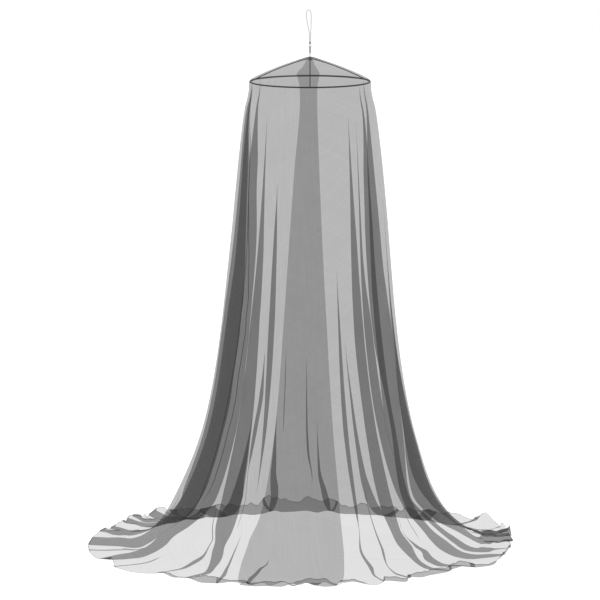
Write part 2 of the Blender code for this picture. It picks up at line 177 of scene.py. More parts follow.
# azimuth at each station, width of the fold's three layers in mm, side of its outer layer
MAIN_FOLDS = (
    (  # left_4
     (25, 25, 25, 25, 25, 24.5, 24, 26.2, 26.6, 25.6, 24.2, 22),
     (0, 0, 0, 21, 30, 18, 0, 0, 5, 14, 18, 5), -1),
    (  # left_3
     (38, 38, 37, 36.5, 37.5, 37.2, 35.6, 34.7, 33.2, 31.1, 30.4, 31.5),
     (0, 0, 12, 39, 62, 88, 116, 98, 72, 45, 36, 45), 1),
    (  # left_2
     (53, 52, 49.5, 45.4, 46.5, 48.2, 49.4, 55.5, 63.8, 65.2, 66.5, 65),
     (0, 14, 66, 66, 75, 106, 118, 105, 150, 145, 135, 60), -1),
    (  # left_1
     (69, 67, 60.5, 58.1, 61, 61.9, 63, 68.5, 80, 82, 90, 92),
     (0, 22, 90, 112, 150, 142, 180, 222, 290, 320, 245, 190), 1),
    (  # back_7
     (104, 105, 111, 112.3, 109.3, 110.7, 114.5, 117.2, 117, 118, 117, 116),
     (0, 64, 104, 180, 255, 260, 255, 235, 235, 200, 110, 60), -1),
    (  # back_6
     (145, 145, 145, 145, 145, 145, 145.5, 146.5, 147.5, 148, 148, 148),
     (0, 0, 0, 0, 0, 0, 35, 60, 85, 88, 90, 90), 1),
    (  # back_5
     (161, 161, 161, 161, 161, 160.5, 162, 164, 165, 165.5, 166, 166),
     (0, 0, 0, 0, 0, 0, 30, 40, 36, 14, 12, 12), -1),
    (  # back_4
     (184, 184, 184, 184, 184, 184, 184.5, 186, 187, 187.5, 188, 188),
     (0, 0, 0, 0, 0, 0, 14, 30, 34, 14, 12, 12), 1),
    (  # back_3
     (204, 204, 204, 204, 204, 206, 206.5, 206.5, 206.5, 206.5, 207, 207),
     (0, 0, 0, 0, 0, 14, 34, 52, 62, 50, 40, 14), -1),
    (  # back_2
     (236, 236, 232.7, 231.3, 232.5, 235.2, 230, 227, 225, 222, 220, 218),
     (0, 16, 48, 68, 76, 40, 55, 65, 75, 80, 85, 90), 1),
    (  # back_1
     (258, 258, 258, 256, 256, 254.6, 251, 250.5, 252, 257, 260, 261),
     (0, 0, 0, 8, 40, 118, 215, 195, 185, 180, 175, 130), -1),
    (  # right_4
     (290, 290, 290, 290, 289.5, 288.6, 294.3, 289.2, 281.5, 274.5, 271.6, 270),
     (0, 0, 0, 0, 14, 152, 262, 225, 165, 150, 140, 120), 1),
    (  # right_3
     (300, 301.5, 304.8, 305.2, 302.6, 305.8, 310, 302.8, 298, 291.5, 285, 281),
     (0, 18, 70, 114, 172, 164, 26, 50, 85, 120, 115, 50), -1),
    (  # right_2
     (319, 319, 320.5, 321.7, 319.5, 317.6, 314, 310, 307, 302.5, 295, 289),
     (0, 0, 5, 16, 50, 62, 74, 62, 95, 125, 120, 30), 1),
    (  # right_1
     (327, 327, 327.7, 327.8, 327.3, 325.7, 325.3, 325.2, 324.4, 323.2, 321, 318.5),
     (0, 0, 14, 41, 58, 66, 80, 64, 67, 46, 60, 30), -1),
    (  # right_0
     (342, 342, 342, 342, 341.5, 341.1, 340.5, 340.9, 342.3, 340.8, 341.4, 341.2),
     (0, 0, 0, 0, 12, 22, 16, 2, 10, 19, 14, 12), 1),
)
# thin folds: side of the outer layer, and rows of net radius, azimuth, width in mm
THIN_FOLDS = (
    (1, (  # band_line
        (0.450, 14.8, 0), (0.475, 14.5, 4), (0.511, 14.3, 4), (0.530, 14.2, 0),
        (0.800, 13.6, 0), (0.830, 13.8, 6), (0.860, 15.4, 20), (0.950, 16.0, 29), (1.080, 15.2, 14))),
    (-1, (  # left_fork
        (0.455, 28.4, 0), (0.475, 28.5, 12), (0.489, 28.6, 20), (0.520, 30.0, 20),
        (0.550, 30.3, 14), (0.585, 30.2, 0), (1.080, 25.5, 0))),
    (-1, (  # left_flare
        (0.640, 38.8, 0), (0.700, 37.5, 4), (0.772, 37.6, 6), (0.815, 37.4, 12),
        (0.860, 38.8, 28), (0.900, 39.5, 25), (0.950, 40.0, 16), (1.080, 41.5, 8))),
    (1, (  # left_crease
        (0.860, 54.0, 0), (0.905, 54.1, 18), (1.000, 54.4, 28), (1.080, 54.7, 24))),
    (1, (  # left_line
        (0.840, 74.0, 0), (0.880, 75.0, 24), (0.950, 77.0, 36), (1.080, 79.5, 40))),
    (-1, (  # tip_streak_1
        (0.800, 101.0, 0), (0.860, 102.0, 46), (0.950, 104.0, 66), (1.080, 104.0, 50))),
    (1, (  # tip_streak_2
        (0.860, 107.5, 0), (0.910, 108.0, 44), (0.960, 109.0, 50), (1.080, 109.5, 44))),
    (1, (  # edge_streak_1
        (0.760, 122.0, 0), (0.840, 122.0, 60), (0.950, 122.0, 86), (1.080, 121.0, 66))),
    (-1, (  # edge_streak_2
        (0.780, 131.0, 0), (0.840, 130.0, 60), (0.900, 129.0, 88), (1.080, 128.0, 62))),
    (1, (  # edge_streak_3
        (0.860, 135.0, 0), (0.930, 135.5, 60), (1.080, 136.0, 60))),
    (-1, (  # back_line
        (0.465, 177.6, 0), (0.477, 177.8, 2), (0.537, 178.2, 8), (0.593, 179.0, 11),
        (0.659, 181.0, 3), (0.690, 181.2, 0), (1.080, 182.0, 0))),
    (1, (  # rim_line
        (0.820, 234.0, 0), (0.880, 235.0, 36), (0.950, 236.0, 56), (1.080, 236.5, 50))),
    (-1, (  # right_line
        (0.660, 316.9, 0), (0.690, 316.8, 4), (0.735, 316.2, 4), (0.755, 316.1, 0), (1.080, 309.0, 0))),
    (1, (  # right_fork
        (0.740, 322.0, 0), (0.765, 320.8, 16), (0.815, 316.8, 40), (0.863, 314.2, 60),
        (0.945, 312.0, 66), (1.080, 310.0, 14))),
    (-1, (  # right_crease
        (0.600, 334.6, 0), (0.642, 334.9, 3), (0.700, 334.4, 6), (0.760, 334.2, 9),
        (0.805, 334.6, 14), (0.860, 335.2, 8), (0.920, 334.6, 16), (1.000, 334.2, 26),
        (1.080, 333.6, 22))),
)

FOLD_DEPTH = 0.0015  # how far the outer and inner layers of a narrow fold stand from the middle one
DEPTH_PER_WIDTH = 0.006  # how much more they stand apart in a wider fold
MOST_DEPTH = 0.003
FLOOR_DEPTH = 0.002  # the same where the skirt lies on the floor
OPEN_WIDTH = 0.030  # folds narrower than this are shallower too
FOLD_ROOM = 1.3  # a fold's room along the sheet, over the width of its three layers
LEAST_ROOM = math.radians(1.0)
ROOM_SHARE = 1.004  # most of the way between two folds that their rooms may fill
THIN_SHARE = 0.45  # most of the way left between two main folds that the thin ones may fill, each side
THIN_ROOM = 0.0015  # least room of a thin fold
CLOSING_SHARE = 0.10  # a fold narrower than this share of its room flattens out
CALM_LENGTH = 0.060  # how far from a fold the net comes back to its plain shape
FOLD_ONSET = 0.100  # distance below the hoop in which the folds gain their depth
FOLD_SWAY = 0.0018  # how far a fold wanders from its line
SWAY_SHARES = (0.3, 2.2, 8.0)  # that wandering on the wall, and what the floor and its tips add
WIDTH_SWAY = 0.14  # how much a fold's width wanders, over the width
WIDTH_SHARES = (0.3, 2.0)  # that wandering on the wall, and what the floor adds
SWAY_PITCH = 9.0  # waves of both wanderings per metre of net
SWAY_SEEDS = (0.0, 7.0)  # for the line and for the width
SWAY_SHIFT = 3.1  # from one fold's wandering to the next one's
GAIN_STEPS = 60
LEAST_GAIN = 0.01
LEAST_TURN = 0.12  # how near to its middle a fold's rounded edge may come, over its room
# a fold's points from its middle to its rounded edge, and on from there to the plain net
MAIN_POINTS = ((0.0, 0.5, 0.82, 1.0), (0.10, 0.32, 0.64, 1.0))
THIN_POINTS = ((0.0, 0.6, 1.0), (0.30, 1.0))
PLAIN_STEP = 1.25  # most degrees between the points of the plain net

# azimuth, how far the hem reaches from the axis, how high it stands off the floor, length of its curl
HEM = (
    (-9, 1, 0, 0.005), (-6, 1.06, 0, 0.008), (-3.6, 0.99, 0.004, 0.005),
    (-1.5, 1.06, 0, 0.012), (1.5, 0.985, 0.002, 0.005), (4, 1.08, 0, 0.01),
    (6.6, 1, 0.006, 0.005), (9.5, 1.07, 0, 0.008), (12, 1.01, 0, 0.004),
    (14, 1.08, 0, 0.01), (16, 1.05, 0, 0.012), (19.5, 1.05, 0, 0.012),
    (21.8, 1.1, 0, 0.028), (25.5, 1.115, 0, 0.036), (29, 1.08, 0, 0.014),
    (31.3, 1.055, 0, 0.006), (33.4, 1.095, 0, 0.01), (36.5, 1.07, 0, 0.018),
    (40, 1.045, 0.002, 0.01), (43, 1.095, 0.002, 0.005), (47, 1.12, 0.002, 0.004),
    (54.9, 1.115, 0.002, 0.004), (58, 1.08, 0.004, 0.006), (63, 1.06, 0.004, 0.01),
    (67.4, 1.1, 0.002, 0.004), (80, 1.105, 0.002, 0.004), (90, 1.11, 0.004, 0.005),
    (100, 1.12, 0.008, 0.006), (107, 1.1, 0.01, 0.012), (113, 1.09, 0.015, 0.014),
    (118.5, 1.085, 0.042, 0.016), (123, 1.08, 0.022, 0.014), (129, 1.08, 0.04, 0.018),
    (134, 1.08, 0.034, 0.02), (141, 1.085, 0.02, 0.024), (148, 1.08, 0.026, 0.022),
    (152, 1.08, 0.034, 0.016), (158, 1.08, 0.022, 0.018), (164, 1.08, 0.026, 0.026),
    (168, 1.08, 0.045, 0.024), (171, 1.08, 0.046, 0.022), (174, 1.08, 0.034, 0.014),
    (176.8, 1.08, 0.02, 0.016), (178.4, 1.08, 0.044, 0.02), (182.3, 1.08, 0.048, 0.02),
    (183.6, 1.08, 0.032, 0.014), (187, 1.08, 0.03, 0.018), (192, 1.08, 0.014, 0.012),
    (196.8, 1.08, 0.036, 0.014), (199, 1.08, 0.016, 0.008), (201.5, 1.08, 0.034, 0.01),
    (204, 1.08, 0.022, 0.014), (206, 1.08, 0.034, 0.008), (208, 1.08, 0.012, 0.01),
    (210.5, 1.08, 0.034, 0.012), (214, 1.08, 0.018, 0.012), (218, 1.08, 0.03, 0.014),
    (222, 1.08, 0.016, 0.012), (226, 1.08, 0.03, 0.02), (232, 1.08, 0.018, 0.014),
    (236, 1.08, 0.024, 0.01), (240, 1.075, 0.066, 0.006), (243.5, 1.08, 0.04, 0.006),
    (247, 1.085, 0.014, 0.014), (251, 1.075, 0.02, 0.018), (255, 1.06, 0.008, 0.014),
    (259, 1.045, 0.018, 0.018), (264, 1.03, 0.006, 0.006), (267, 1.005, 0.012, 0.005),
    (270.5, 1.02, 0.006, 0.008), (274, 0.99, 0.01, 0.005), (278, 1.005, 0.004, 0.01),
    (286, 0.995, 0.004, 0.012), (295.6, 1, 0.002, 0.01), (303.6, 1.03, 0, 0.012),
    (309, 1.005, 0, 0.016), (312, 0.95, 0.004, 0.03), (317, 0.965, 0.002, 0.026),
    (320.7, 0.985, 0, 0.024), (326.4, 0.995, 0, 0.03), (331.3, 1.02, 0, 0.026),
    (333.4, 1, 0, 0.012), (336.6, 1.08, 0, 0.022), (340.6, 1.02, 0, 0.022),
    (342.6, 1.07, 0, 0.008), (345.3, 1.095, 0, 0.006), (347.1, 1.05, 0, 0.01),
    (349, 1, 0, 0.014), (351.6, 1.025, 0, 0.016), (352.6, 1, 0, 0.008),
    (353.8, 1.09, 0, 0.01), (356.6, 1.105, 0, 0.04), (358.7, 1.065, 0, 0.03),
    (360.9, 1.015, 0, 0.026), (362.5, 1.06, 0, 0.024), (364.8, 1.03, 0, 0.006),
    (365.4, 1.08, 0, 0.016), (366.8, 1.112, 0, 0.026), (369.7, 1.108, 0, 0.028),
    (372.8, 1.122, 0, 0.02), (375, 1.115, 0, 0.02), (376.5, 1.105, 0, 0.004),
)
# azimuth and height of the places at the back where the skirt doesn't quite touch the floor
ARCHES = (
    (150, 0), (156, 0.01), (160, 0), (164.5, 0.008), (167, 0.03), (169.5, 0.008),
    (174, 0.01), (178, 0.018), (182.5, 0.004), (186.6, 0.028), (190, 0.004), (205, 0),
)
ARCH_SPAN = (0.82, 0.94)  # radius where the arches begin, and where they have their full height
# azimuth and height of the low ridges in which the skirt lies bunched near its two tips
RIDGES = (
    (94, 0), (98, 0.005), (101, 0), (105, 0.013), (108.5, 0.002), (113, 0.016),
    (117, 0.003), (122, 0.02), (126.5, 0.004), (132, 0.02), (137, 0.002), (142, 0.01),
    (147, 0), (238, 0), (243, 0.012), (247, 0.002), (252, 0.016), (256, 0.004),
    (260.5, 0.036), (264, 0.014), (267.5, 0.036), (271, 0.006), (275, 0.024), (279, 0.002),
    (283, 0.01), (287, 0),
)
RIDGE_SPAN = (0.76, 0.93)  # the same for the ridges
RIDGE_SWAY = 3.0  # degrees
RIDGE_PITCH = 14.0  # waves of a ridge's line per metre of net
RIDGE_SEED = (2.0, 5.0)
LIFT_POWER = 3  # how late on the skirt a lifted hem begins to rise
HEM_ROUGH = 0.012  # how unevenly a lifted hem stands up
JAG_PLACE = (14.0, 3.7)  # noise along the hem: the size of its circle, and its seed
FINE_PLACE = (40.0, 8.1)
CURL_ROWS = 6
CURL_LEAST = 0.002
CURL_LEAN = math.radians(108.0)
CURL_TURN = 0.5  # share of a curl's length in which it turns up
CURL_FLAT = 0.006  # a curl no longer than this lies flat
CURL_ROUGH = 0.35  # how unevenly long the curl is, over its length
LEAN_ROUGH = 0.6  # how unevenly it turns up, in radians
HEM_WIDTH = 0.0035  # the doubled strip along the hem
HEM_SHARE = 0.8  # widest that the strip may be, over the curl's length
HEM_THICK = 0.0010
RIPPLE_DEPTH = 0.0025
RIPPLE_PLACE = (6.0, 0.9)  # the size of its noise's circle, and how fast it changes down the net
RIPPLE_ONSET = 0.5  # distance below the hoop in which the ripples gain their depth

# pleats where the net is gathered at its tip
PLEATS = 26
PLEAT_DEPTH = 0.0009
PLEAT_REACH = 0.045

ROW_BANDS = (  # radius at the end of each band of the net, number of rows in it
    (0.082, 8), (0.291, 8), (0.3072, 8), (0.406, 20), (0.517, 20),
    (0.632, 12), (0.772, 14), (0.945, 16), (1.08, 12),
)

# ---- materials: darkest and lightest colour, and range of roughness ----
NET_COLOURS = ((0.014, 0.014, 0.015), (0.024, 0.024, 0.025))
NET_ROUGHNESS = (0.78, 0.92)
NET_SPECULAR = 0.2
NET_SHEEN = (0.05, 0.5)  # weight, roughness
NET_BUMP = (0.3, 0.0002)  # strength and depth, as in the other bumps
NET_ALPHA = 0.400
WEAVE_PITCH = 0.0016
WEAVE_DEPTH = 0.045
WEAVE_MEAN = 0.405  # mean of the higher one of two crossed sine waves
STREAKS = (90.0, 5.0, 1.0)  # waves per metre along the hem and down the net
STREAK_DETAIL = 4.0
STREAK_DEPTH = 0.08
CLOUDS = (7.0, 3.0, 1.0)
CLOUD_DETAIL = 2.0
CLOUD_DEPTH = 0.04
NOISE_DETAIL = 3.0
HOOP_COLOURS = ((0.045, 0.045, 0.048), (0.075, 0.075, 0.079))
SPOKE_COLOURS = ((0.085, 0.085, 0.090), (0.135, 0.135, 0.141))
# painted light: the hub boss gets a much lighter copy of the grey wire paint, to lift it out of the shade
# under the net's layers
BOSS_LIT_COLOURS = ((0.26, 0.26, 0.265), (0.36, 0.36, 0.37))
PAINT_CLOUDS = 40.0  # waves per metre, as in the scales below
PAINT_GRAIN = 1500.0
PAINT_ROUGHNESS = (0.38, 0.55)
PAINT_METALLIC = 0.5
PAINT_BUMP = (0.25, 0.0001)
# two colours, range of roughness, metallic
DARK_METAL = ((0.005, 0.005, 0.0055), (0.012, 0.012, 0.013), (0.42, 0.60), 0.0)
BRIGHT_METAL = ((0.16, 0.16, 0.165), (0.26, 0.26, 0.265), (0.32, 0.50), 0.6)
METAL_RINGS = (60.0, 60.0, 4000.0)
METAL_RING_DETAIL = 2.0
METAL_MARKS = 700.0
METAL_BUMP = (0.3, 0.00004)
CORD_COLOURS = ((0.16, 0.16, 0.157), (0.34, 0.34, 0.332))
CORD_FIBRES = (6000.0, 6000.0, 900.0)
CORD_SOIL = 60.0
CORD_SHADES = (0.6, 0.4)  # share of the fibres and of the soil in its colour
CORD_ROUGHNESS = (0.70, 0.90)
CORD_SHEEN = 0.3
CORD_BUMP = (0.5, 0.0001)


# ---- shared helpers ----


def world_z(height):
    """Height above the floor to Z."""
    return FLOOR_Z + height


def smooth_step(x):
    """0 to 1 with level ends."""
    x = np.clip(x, 0.0, 1.0)
    return x * x * (3.0 - 2.0 * x)


def cubic(t, step, ends, slopes):
    """A curve between two values with a slope at each, for t from 0 to 1 over a step's length."""
    start = (1 + 2 * t) * (1 - t) ** 2 * ends[0] + t * (1 - t) ** 2 * step * slopes[0]
    return start + t * t * (3 - 2 * t) * ends[1] + t * t * (t - 1) * step * slopes[1]


def ring_noise(turn, place):
    """Noise from -1 to 1 that runs round the net and meets itself."""
    size, seed = place
    return noise.noise(Vector((size * math.cos(turn), size * math.sin(turn), seed)))


def rise(radius, span):
    """0 to 1 from one radius to another."""
    return smooth_step((radius - span[0]) / (span[1] - span[0]))


def ease(x, knots, values):
    """A smooth curve through a table, that never swings past the table's own values."""
    knots = np.asarray(knots, float)
    values = np.asarray(values, float)
    step = np.diff(knots)
    chord = np.diff(values) / step
    slope = np.zeros(len(knots))
    both = chord[:-1] * chord[1:]
    total = chord[:-1] + chord[1:]
    inner = both > 0
    slope[1:-1][inner] = 2.0 * both[inner] / total[inner]
    slope[0], slope[-1] = chord[0], chord[-1]
    i = np.clip(np.searchsorted(knots, x, side="right") - 1, 0, len(knots) - 2)
    t = np.clip((x - knots[i]) / step[i], 0.0, 1.0)
    return cubic(t, step[i], (values[i], values[i + 1]), (slope[i], slope[i + 1]))


def add_object(name, data):
    """A new object in the scene."""
    obj = bpy.data.objects.new(name, data)
    bpy.context.scene.collection.objects.link(obj)
    return obj


def grid_mesh(name, points, closed_around=False, closed_along=False):
    """A mesh of quads over points[column][row], closed round its columns, its rows, both or neither."""
    columns, rows = points.shape[:2]
    last_column = columns if closed_around else columns - 1
    last_row = rows if closed_along else rows - 1
    c, r = np.meshgrid(np.arange(last_column), np.arange(last_row), indexing="ij")
    next_c, next_r = (c + 1) % columns, (r + 1) % rows
    corners = (c * rows + r, c * rows + next_r, next_c * rows + next_r, next_c * rows + r)
    faces = np.stack([corner.ravel() for corner in corners], axis=1)
    mesh = bpy.data.meshes.new(name)
    mesh.from_pydata(points.reshape(-1, 3).tolist(), [], faces.tolist())
    return mesh


# ---- materials ----


class Nodes:
    """A short way to add and join the nodes of one material."""

    def __init__(self, name):
        self.material = bpy.data.materials.new(name)
        self.material.use_nodes = True
        self.tree = self.material.node_tree
        self.shader = self.tree.nodes["Principled BSDF"]

    def add(self, kind, **settings):
        node = self.tree.nodes.new(kind)
        for key, value in settings.items():
            setattr(node, key, value)
        return node

    def join(self, source, target):
        self.tree.links.new(source, target)

    def math(self, operation, first, second):
        node = self.add("ShaderNodeMath", operation=operation)
        for socket, value in zip(node.inputs, (first, second)):
            if isinstance(value, (int, float)):
                socket.default_value = value
            else:
                self.join(value, socket)
        return node.outputs[0]

    def noise(self, coordinates, scale, stretch=(1.0, 1.0, 1.0), detail=NOISE_DETAIL):
        """Noise from 0 to 1 about 0.5, stretched along an axis."""
        mapping = self.add("ShaderNodeMapping")
        mapping.inputs["Scale"].default_value = stretch
        texture = self.add("ShaderNodeTexNoise")
        texture.inputs["Scale"].default_value = scale
        texture.inputs["Detail"].default_value = detail
        self.join(coordinates, mapping.inputs["Vector"])
        self.join(mapping.outputs[0], texture.inputs["Vector"])
        return texture.outputs["Fac"]

    def span(self, value, ends):
        """A value from 0 to 1 spread between two numbers."""
        low, high = ends
        return self.math("ADD", self.math("MULTIPLY", value, high - low), low)

    def colour_between(self, value, colours):
        """A colour between two, for a value from 0 to 1."""
        ramp = self.add("ShaderNodeValToRGB")
        for element, colour in zip(ramp.color_ramp.elements, colours):
            element.color = (*colour, 1.0)
        self.join(value, ramp.inputs[0])
        return ramp.outputs[0]

    def bump(self, height, strength_and_depth):
        """Relief from a height of 0 to 1."""
        strength, distance = strength_and_depth
        node = self.add("ShaderNodeBump")
        node.inputs["Strength"].default_value = strength
        node.inputs["Distance"].default_value = distance
        self.join(height, node.inputs["Height"])
        self.join(node.outputs[0], self.shader.inputs["Normal"])

    def set(self, socket, value):
        if isinstance(value, (int, float)):
            self.shader.inputs[socket].default_value = value
        else:
            self.join(value, self.shader.inputs[socket])


def net_material():
    """Fine charcoal netting: crossed threads, faint upright streaks, alpha for the open mesh."""
    n = Nodes("charcoal_net")
    place = n.add("ShaderNodeUVMap", uv_map="cut").outputs[0]
    axes = n.add("ShaderNodeSeparateXYZ")
    n.join(place, axes.inputs[0])
    threads = []
    for socket in (axes.outputs[0], axes.outputs[1]):
        turns = n.math("MULTIPLY", socket, 2 * math.pi / WEAVE_PITCH)
        threads.append(n.math("SINE", turns, 0.0))
    weave = n.math("MAXIMUM", threads[0], threads[1])
    streaks = n.noise(place, 1.0, STREAKS, STREAK_DETAIL)
    clouds = n.noise(place, 1.0, CLOUDS, CLOUD_DETAIL)
    alpha = n.math("ADD", n.math("MULTIPLY", weave, WEAVE_DEPTH), NET_ALPHA - WEAVE_DEPTH * WEAVE_MEAN)
    for pattern, depth in ((streaks, STREAK_DEPTH), (clouds, CLOUD_DEPTH)):
        alpha = n.math("ADD", alpha, n.math("MULTIPLY", n.math("SUBTRACT", pattern, 0.5), depth))
    n.set("Alpha", alpha)
    n.set("Base Color", n.colour_between(streaks, NET_COLOURS))
    n.set("Roughness", n.span(clouds, NET_ROUGHNESS))
    n.set("Specular IOR Level", NET_SPECULAR)
    n.set("Sheen Weight", NET_SHEEN[0])
    n.set("Sheen Roughness", NET_SHEEN[1])
    n.bump(weave, NET_BUMP)
    return n.material


def wire_material(name, colours):
    """Grey satin paint on drawn wire."""
    n = Nodes(name)
    place = n.add("ShaderNodeTexCoord").outputs["Object"]
    cloud = n.noise(place, PAINT_CLOUDS)
    grain = n.noise(place, PAINT_GRAIN)
    n.set("Base Color", n.colour_between(cloud, colours))
    n.set("Roughness", n.span(grain, PAINT_ROUGHNESS))
    n.set("Metallic", PAINT_METALLIC)
    n.bump(grain, PAINT_BUMP)
    return n.material


def metal_material(name, look):
    """Turned metal with fine rings along the pin and small marks."""
    dark, light, roughness, metallic = look
    n = Nodes(name)
    place = n.add("ShaderNodeTexCoord").outputs["Object"]
    rings = n.noise(place, 1.0, METAL_RINGS, METAL_RING_DETAIL)
    marks = n.noise(place, METAL_MARKS)
    n.set("Base Color", n.colour_between(marks, (dark, light)))
    n.set("Roughness", n.span(rings, roughness))
    n.set("Metallic", metallic)
    n.bump(rings, METAL_BUMP)
    return n.material


def cord_material():
    """Pale twisted cord: fibres along the strands and slightly greyer grooves."""
    n = Nodes("pale_cord")
    place = n.add("ShaderNodeTexCoord").outputs["Object"]
    fibres = n.noise(place, 1.0, CORD_FIBRES)
    soil = n.noise(place, CORD_SOIL)
    parts = [n.math("MULTIPLY", value, share) for value, share in zip((fibres, soil), CORD_SHADES)]
    n.set("Base Color", n.colour_between(n.math("ADD", *parts), CORD_COLOURS))
    n.set("Roughness", n.span(fibres, CORD_ROUGHNESS))
    n.set("Sheen Weight", CORD_SHEEN)
    n.bump(fibres, CORD_BUMP)
    return n.material


# ---- the net ----


def profile_rows():
    """Distance along the net at each row, and its radius, height and outward normal there."""
    table = np.array(PROFILE)
    height, radius = table[:, 0], table[:, 1]
    knots = np.concatenate([[0.0], np.cumsum(np.hypot(np.diff(height), np.diff(radius)))])
    rows = [0.0]
    for end_radius, count in ROW_BANDS:
        end = np.interp(end_radius, radius, knots)
        rows += list(np.linspace(rows[-1], end, count + 1)[1:])
    rows = np.array(rows)
    r = ease(rows, knots, radius)
    h = ease(rows, knots, height)
    along_r = np.gradient(r, rows)
    along_z = np.gradient(h, rows)
    size = np.hypot(along_r, along_z)
    return knots, rows, r, h, -along_z / size, along_r / size


def fold_gain(overlap):
    """How strongly a fold's section swings, for the width of its layers over its room."""
    gains = np.linspace(1 / (2 * math.pi), 1.0, GAIN_STEPS)
    turn = np.arccos(np.minimum(1 / (2 * math.pi * gains), 1.0)) / math.pi
    widths = 2 * (gains * np.sin(math.pi * turn) - turn / 2)
    return np.interp(overlap, widths, gains) * smooth_step(overlap / CLOSING_SHARE)


class Folds:
    """Every fold's azimuth, room, swing and depth at each row of the net, in order round it."""

    def __init__(self, knots, rows, radius, height):
        self.radius = radius
        self.distance = rows
        edges = np.array(EDGES)
        self.start, self.end, self.gap = (ease(radius, edges[:, 0], edges[:, i]) for i in (1, 2, 3))
        profile_radius = np.array(PROFILE)[:, 1]
        stations = np.interp(STATIONS, profile_radius, knots)
        self.lying = rise(radius, (FLARE_RADIUS, SKIRT_START))
        self.wander = np.array([noise.noise(Vector((RIDGE_PITCH * d, *RIDGE_SEED))) for d in rows])
        self.found = []  # azimuth, width, room, side, points of each fold
        for azimuths, widths, side in MAIN_FOLDS:
            self.add(stations, azimuths, widths, side, MAIN_POINTS)
        self.fit_main()
        for side, table in THIN_FOLDS:
            radii, azimuths, widths = np.array(table, float).T
            self.add(np.interp(radii, profile_radius, knots), azimuths, widths, side, THIN_POINTS)
        self.place_thin()
        self.azimuth, width, self.room = (np.array([fold[i] for fold in self.found]) for i in range(3))
        side = np.array([fold[3] for fold in self.found])[:, None]
        self.points = [fold[4] for fold in self.found]
        self.count = len(self.found)
        self.gain = fold_gain(np.minimum(width / (2 * self.room), 1.0))
        turning = np.minimum(1 / (2 * math.pi * np.maximum(self.gain, LEAST_GAIN)), 1.0)
        self.turn = np.maximum(np.arccos(turning) / math.pi, LEAST_TURN)
        onset = smooth_step((HOOP_HEIGHT - height) / FOLD_ONSET)
        hanging = np.minimum(FOLD_DEPTH + DEPTH_PER_WIDTH * width, MOST_DEPTH)
        depth = hanging + (FLOOR_DEPTH - hanging) * self.lying
        self.depth = side * depth * onset * smooth_step(width / OPEN_WIDTH)

    def add(self, stations, azimuths, widths, side, points):
        """A fold from its table, with the small wandering of its line and width."""
        width = ease(self.distance, stations, widths) / MM_PER_METRE
        shift = SWAY_SHIFT * len(self.found)
        sway = np.array([
            [noise.noise(Vector((SWAY_PITCH * d, shift, seed))) for d in self.distance]
            for seed in SWAY_SEEDS
        ])
        azimuth = ease(self.distance, stations, azimuths)
        wall, floor, tips = SWAY_SHARES
        share = wall + self.lying * (floor + tips * np.sin(np.radians(azimuth)) ** 2)
        wander = np.degrees(FOLD_SWAY * share * sway[0] / self.radius)
        azimuth = azimuth + wander * smooth_step(width / OPEN_WIDTH)
        wall, floor = WIDTH_SHARES
        width = width * (1 + WIDTH_SWAY * (wall + floor * self.lying) * sway[1])
        room = np.maximum(FOLD_ROOM * width, LEAST_ROOM * self.radius) / 2
        self.found.append([azimuth, width, room, side, points])

    def fit_main(self):
        """Narrow the rooms of neighbouring main folds where they would run into each other."""
        azimuth = np.array([fold[0] for fold in self.found])
        room = np.array([fold[2] for fold in self.found])
        between = np.radians(np.diff(azimuth, axis=0)) * self.radius
        fit = np.minimum(1.0, ROOM_SHARE * between / (room[:-1] + room[1:]))
        none = np.ones((1, len(self.radius)))
        room = room * np.minimum(np.vstack([none, fit]), np.vstack([fit, none]))
        for fold, fitted in zip(self.found, room):
            fold[2] = fitted

    def place_thin(self):
        """Put each thin fold in what the main folds leave free round its place."""
        main = self.found[:len(MAIN_FOLDS)]
        thin = sorted(self.found[len(MAIN_FOLDS):], key=lambda fold: fold[0][-1])
        placed = []
        for k in range(len(main) + 1):
            low, high = self.start, self.end
            if k > 0:
                low = main[k - 1][0] + np.degrees(main[k - 1][2] / self.radius)
                placed.append(main[k - 1])
            if k < len(main):
                high = main[k][0] - np.degrees(main[k][2] / self.radius)
            here = [fold for fold in thin if low[-1] < fold[0][-1] < high[-1]]
            most = THIN_SHARE * np.radians(high - low) * self.radius / max(len(here), 1)
            for fold in here:
                fold[2] = np.minimum(np.maximum(FOLD_ROOM * fold[1] / 2, THIN_ROOM), most)
            later = np.zeros_like(self.radius)
            ends = []
            for fold in reversed(here):
                ends.insert(0, high - np.degrees((fold[2] + later) / self.radius))
                later = later + 2 * fold[2]
            for fold, end in zip(here, ends):
                half = np.degrees(fold[2] / self.radius)
                fold[0] = np.clip(fold[0], low + half, end)
                low = fold[0] + half
                placed.append(fold)
        if len(placed) != len(self.found):
            raise ValueError("a thin fold's hem lies inside a main fold")
        self.found = placed

    def places(self, k):
        """Where fold k's section has its points, from -1 to 1, at each row."""
        to_edge, to_plain = self.points[k]
        half = [self.turn[k] * share for share in to_edge]
        half += [self.turn[k] + (1 - self.turn[k]) * share for share in to_plain]
        return [-t for t in half[:0:-1]] + half

    def inside(self, k, t):
        """Azimuth and offset at the place t, from -1 to 1, of fold k's section.

        A hanging fold lies inside the net's plain shape, and one on the floor lies on top of it.
        """
        swing = self.room[k] * (t - 2 * self.gain[k] * np.sin(math.pi * t))
        azimuth = self.azimuth[k] + np.degrees(swing / self.radius)
        rest = (2 * self.lying - 1) * np.abs(self.depth[k])
        return azimuth, self.depth[k] * np.sin(math.pi * t / 2) + rest

